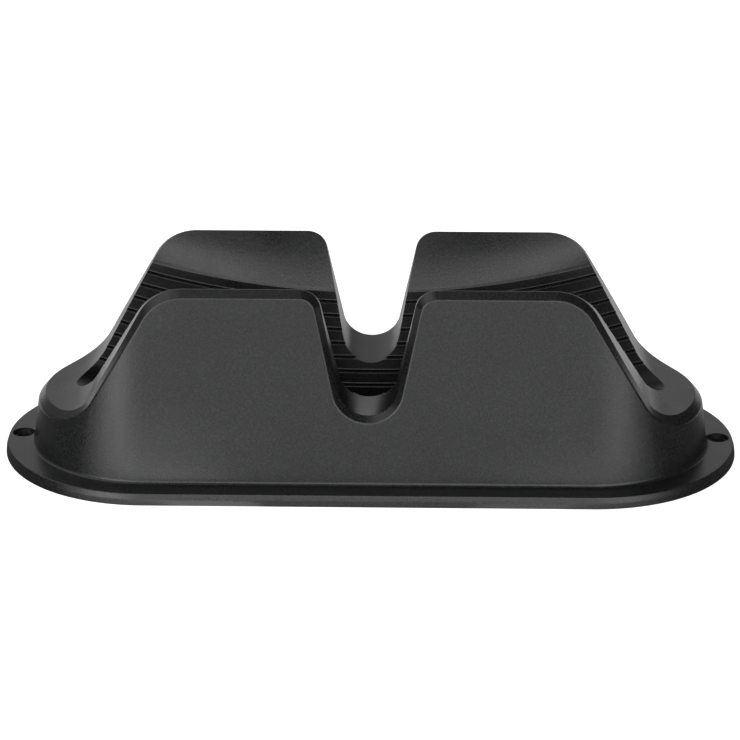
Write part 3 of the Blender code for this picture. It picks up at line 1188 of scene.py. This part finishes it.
@dataclass(frozen=True)
class Grain:
    """Fine grain of a moulding: noise and cells in its surface, noise and clouds in its shine."""

    size: float = 1 * MM
    detail: float = 3.0
    noise_roughness: float = 0.6
    cell_smoothness: float = 0.6
    cell_share: float = 0.45
    clouds_per_metre: float = 45.0
    noise_share: float = 0.35

    def build(self) -> bpy.types.NodeTree:
        """Build the grain as a node group.

        Returns:
            Group with a Size input, and Height and Shine outputs.
        """
        tree = bpy.data.node_groups.new("moulded_grain", "ShaderNodeTree")
        size = tree.interface.new_socket("Size", in_out="INPUT", socket_type="NodeSocketFloat")
        size.default_value = self.size
        for name in ("Height", "Shine"):
            tree.interface.new_socket(name, in_out="OUTPUT", socket_type="NodeSocketFloat")
        nodes = Nodes(tree)
        given = nodes.add("NodeGroupInput")
        place = nodes.add("ShaderNodeTexCoord").outputs["Object"]
        scale = nodes.math("DIVIDE", 1.0, given.outputs["Size"])
        noise = nodes.add("ShaderNodeTexNoise", {"Vector": place, "Scale": scale, "Detail": self.detail,
                                                 "Roughness": self.noise_roughness}).outputs["Fac"]
        cells = nodes.add("ShaderNodeTexVoronoi", {"Vector": place, "Scale": scale}, feature="SMOOTH_F1")
        cells.inputs["Smoothness"].default_value = self.cell_smoothness
        height = nodes.add("ShaderNodeMix", {0: self.cell_share, 2: noise, 3: cells.outputs["Distance"]})
        clouds = nodes.add("ShaderNodeTexNoise", {"Vector": place, "Scale": self.clouds_per_metre,
                                                  "Detail": self.detail}).outputs["Fac"]
        shine = nodes.add("ShaderNodeMix", {0: self.noise_share, 2: clouds, 3: noise})
        out = nodes.add("NodeGroupOutput")
        tree.links.new(height.outputs[0], out.inputs["Height"])
        tree.links.new(shine.outputs[0], out.inputs["Shine"])
        return tree


@dataclass(frozen=True)
class GrainedFinish:
    """Finish whose surface and shine follow the shared grain, between two of the grain's values."""

    name: str
    specular: float
    roughness: float
    roughness_swing: float
    grain_low: float
    grain_high: float
    grain: float
    grain_depth: float

    def tint(self, nodes: Nodes, texture: bpy.types.Node) -> bpy.types.NodeSocket:
        """Add what gives the colour, from the grain's node."""
        raise NotImplementedError

    def build(self, grain: bpy.types.NodeTree) -> bpy.types.Material:
        """Make the material.

        Args:
            grain: The grain's node group.

        Returns:
            The material.
        """
        made = bpy.data.materials.new(self.name)
        made.use_nodes = True
        nodes = Nodes(made.node_tree)
        shader = made.node_tree.nodes["Principled BSDF"]
        shader.inputs["Specular IOR Level"].default_value = self.specular
        texture = nodes.add("ShaderNodeGroup", node_tree=grain)
        texture.inputs["Size"].default_value = self.grain
        swing = self.roughness_swing / 2
        rough = nodes.span(texture.outputs["Shine"], self.grain_low, self.grain_high,
                           self.roughness - swing, self.roughness + swing)
        bump = nodes.add("ShaderNodeBump", {"Height": texture.outputs["Height"],
                                            "Distance": self.grain_depth}).outputs[0]
        links = made.node_tree.links
        links.new(self.tint(nodes, texture), shader.inputs["Base Color"])
        links.new(rough, shader.inputs["Roughness"])
        links.new(bump, shader.inputs["Normal"])
        return made


@dataclass(frozen=True)
class MouldedPlastic(GrainedFinish):
    """Fine-grained black moulding, with painted shade in the grain's low spots and painted light on its high
    spots.
    """

    name: str = "black_moulded_plastic"
    specular: float = 0.5
    roughness: float = 0.3
    roughness_swing: float = 0.12
    grain_low: float = 0.3
    grain_high: float = 0.7
    grain: float = 1.1 * MM
    grain_depth: float = 0.075 * MM
    color: tuple[float, float, float] = (0.0088, 0.0091, 0.0096)
    shaded_pit_level: float = 0.2
    lit_peak_level: float = 2.0

    def tint(self, nodes: Nodes, texture: bpy.types.Node) -> bpy.types.NodeSocket:
        """Add what gives the colour, from the grain's node."""
        # Painted shade and light: the grain's low spots are coloured darker and its high spots lighter, as if
        # shaded and lit.
        painted_grain_shade = nodes.span(texture.outputs["Height"], self.grain_low, self.grain_high, self.shaded_pit_level, self.lit_peak_level)
        return nodes.mix(1.0, (*self.color, 1), painted_grain_shade, blend_type="MULTIPLY")


@dataclass(frozen=True)
class FootRubber(GrainedFinish):
    """Matte black rubber with a dusty bloom."""

    name: str = "foot_rubber"
    specular: float = 0.4
    roughness: float = 0.85
    roughness_swing: float = 0.2
    grain_low: float = 0.0
    grain_high: float = 1.0
    grain: float = 0.5 * MM
    grain_depth: float = 0.06 * MM
    color: tuple[float, float, float] = (0.018, 0.018, 0.018)
    bloom: tuple[float, float, float] = (0.045, 0.044, 0.042)

    def tint(self, nodes: Nodes, texture: bpy.types.Node) -> bpy.types.NodeSocket:
        """Add what gives the colour, from the grain's node."""
        return nodes.mix(texture.outputs["Shine"], (*self.color, 1), (*self.bloom, 1))


@dataclass(frozen=True)
class SoftWindow:
    """Soft round patch of light in the studio, as the object sees it."""

    azimuth: float
    elevation: float
    inner: float
    outer: float
    strength: float

    @property
    def toward(self) -> Vector:
        """Find which way its middle lies.

        Returns:
            The direction. Azimuth 0 lies on the camera's side, and it grows to the right.
        """
        turn = math.radians(self.azimuth)
        rise = math.radians(self.elevation)
        return Vector((math.sin(turn) * math.cos(rise), -math.cos(turn) * math.cos(rise), math.sin(rise)))


@dataclass
class Studio:
    """White floor in a studio with soft windows of light beside the camera, behind and overhead."""

    floor_size: float = 12.0
    floor_cells: int = 8
    floor_roughness: float = 0.9
    floor_color: float = 0.8
    mirrored_color: float = 0.1
    floor_glow: float = 0.9
    # Painted shadow of the object on the floor: the windows mirrored in the floor are dimmer near the middle
    # and brighter further out.
    near: float = 0.1
    far: float = 0.8
    near_shadow_level: float = 0.85
    far_level: float = 1.1
    ambient: float = 0.04
    windows: tuple[SoftWindow, ...] = (SoftWindow(-32, 18, 12, 25, 3.8), SoftWindow(-38, 10, 5, 36, 1.5),
                                       SoftWindow(26, 14, 9, 24, 2.9), SoftWindow(33, 10, 4, 36, 1.5),
                                       SoftWindow(13, 30, 8, 30, 2.5), SoftWindow(0, 0, 10, 40, 1.05),
                                       SoftWindow(-172, 22, 12, 48, 0.55), SoftWindow(-90, 55, 0, 42, 1.1))
    floor_windows: tuple[SoftWindow, ...] = (SoftWindow(-42, 0, 7, 11, 3.2), SoftWindow(-45, 0, 5, 24, 1.5),
                                             SoftWindow(42, 0, 6, 13, 2.1), SoftWindow(45, 0, 5, 24, 1.05),
                                             SoftWindow(0, 0, 30, 46, 1.0), SoftWindow(180, 0, 62, 84, 0.8))

    def level(self, nodes: Nodes, direction: bpy.types.NodeSocket,
              windows: tuple[SoftWindow, ...]) -> bpy.types.NodeSocket:
        """Brightness of the studio in a direction.

        Args:
            nodes: Tree that the nodes go into.
            direction: Output that gives the direction.
            windows: Patches of light that show there.

        Returns:
            Output with the brightness.
        """
        level = None
        for window in windows:
            cosine = nodes.add("ShaderNodeVectorMath", {0: direction, 1: window.toward},
                               operation="DOT_PRODUCT")
            share = nodes.span(cosine.outputs["Value"], math.cos(math.radians(window.outer)),
                               math.cos(math.radians(window.inner)), self.ambient, window.strength,
                               interpolation_type="SMOOTHSTEP")
            level = share if level is None else nodes.math("MAXIMUM", level, share)
        return level

    def floor(self) -> bpy.types.Object:
        """Lay the pale floor, which shows the windows of light in what mirrors it.

        Returns:
            The floor.
        """
        bm = bmesh.new()
        bmesh.ops.create_grid(bm, x_segments=self.floor_cells, y_segments=self.floor_cells,
                              size=self.floor_size / 2)
        ground = add_object(finished_mesh(bm, "studio_floor"))
        made = bpy.data.materials.new("studio_floor")
        made.use_nodes = True
        tree = made.node_tree
        nodes = Nodes(tree)
        shader = tree.nodes["Principled BSDF"]
        shader.inputs["Roughness"].default_value = self.floor_roughness
        shader.inputs["Specular IOR Level"].default_value = 0
        place = nodes.add("ShaderNodeTexCoord").outputs["Object"]
        away = nodes.add("ShaderNodeVectorMath", {0: place}, operation="NORMALIZE").outputs[0]
        distance = nodes.add("ShaderNodeVectorMath", {0: place}, operation="LENGTH").outputs["Value"]
        # Painted shadow: the mirrored windows are dimmed near the object, standing in for its own shadow on
        # the floor, and brightened further out.
        painted_shadow_fade = nodes.span(distance, self.near, self.far, self.near_shadow_level, self.far_level)
        mirrored = nodes.math("MULTIPLY", self.level(nodes, away, self.floor_windows), painted_shadow_fade)
        rays = nodes.add("ShaderNodeLightPath").outputs
        pale = nodes.mix(rays["Is Glossy Ray"], (*[self.floor_color] * 3, 1), (*[self.mirrored_color] * 3, 1))
        tree.links.new(pale, shader.inputs["Base Color"])
        glossy = nodes.math("MULTIPLY", rays["Is Glossy Ray"], mirrored)
        glow = nodes.math("MULTIPLY_ADD", rays["Is Camera Ray"], self.floor_glow, glossy)
        shader.inputs["Emission Color"].default_value = (1, 1, 1, 1)
        tree.links.new(glow, shader.inputs["Emission Strength"])
        ground.data.materials.append(made)
        return ground

    def surroundings(self) -> None:
        """Make the world: white to the camera, and the windows of light to the object."""
        world = bpy.data.worlds.new("studio_surroundings")
        bpy.context.scene.world = world
        world.use_nodes = True
        tree = world.node_tree
        nodes = Nodes(tree)
        toward = nodes.add("ShaderNodeTexCoord").outputs["Generated"]
        rays = nodes.add("ShaderNodeLightPath").outputs
        level = nodes.math("MAXIMUM", rays["Is Camera Ray"], self.level(nodes, toward, self.windows))
        tree.links.new(level, tree.nodes["Background"].inputs["Strength"])
        tree.nodes["Background"].inputs["Color"].default_value = (1, 1, 1, 1)

    def build(self) -> None:
        """Set up floor, surroundings and the view settings."""
        self.floor()
        self.surroundings()
        bpy.context.scene.view_settings.view_transform = "Standard"


@dataclass(frozen=True)
class PhotoCamera:
    """Camera that stands where the photograph was taken from."""

    elevation: float = math.radians(21.712)
    yaw: float = math.radians(1.183)
    distance: float = 1454.7 * MM
    pixels_per_mm: float = 1.7701
    right_pixels: float = -0.01
    up_pixels: float = -74.58
    lift: float = 0.8 * MM
    sensor: float = 36.0
    nearest: float = 0.05
    farthest: float = 60.0

    def build(self) -> bpy.types.Object:
        """Make the camera and give it to the scene.

        Returns:
            The camera.
        """
        data = bpy.data.cameras.new("photo_camera")
        data.sensor_width = self.sensor
        data.lens = self.sensor * self.distance / MM * self.pixels_per_mm / IMAGE_SIZE
        data.clip_start = self.nearest
        data.clip_end = self.farthest
        made = bpy.data.objects.new("photo_camera", data)
        bpy.context.scene.collection.objects.link(made)
        aside = -self.right_pixels / self.pixels_per_mm * MM
        above = -self.up_pixels / self.pixels_per_mm * MM
        sine = math.sin(self.elevation)
        cosine = math.cos(self.elevation)
        place = Vector((aside, above * sine - self.distance * cosine,
                        above * cosine + self.distance * sine + self.lift))
        turn = Matrix.Rotation(self.yaw, 4, "Z")
        tilt = Matrix.Rotation(math.pi / 2 - self.elevation, 4, "X")
        made.matrix_world = turn @ Matrix.Translation(place) @ tilt
        bpy.context.scene.camera = made
        return made


def main() -> None:
    """Load the frame, build every piece and set the stage."""
    logging.basicConfig(level=logging.INFO)
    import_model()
    PhotoCamera().build()
    grain = Grain().build()
    skirt = Skirt()
    feet = RubberFeet(skirt)
    # Darker, less shiny copy of the black plastic: painted shade on the channel's floor and on its walls
    # between the ribs, where the deep channel lies in shade.
    channel_shade_finish = MouldedPlastic("dull_channel_plastic", specular=0.2, color=(0.0045, 0.0046, 0.0048),
                          grain_depth=0.03 * MM)
    shell = MouldedShell(skirt, WheelChannel(skirt), ScrewHole(), feet)
    shell.build(MouldedPlastic().build(grain), channel_shade_finish.build(grain))
    feet.build(FootRubber().build(grain))
    Studio().build()


if __name__ == "__main__":
    main()
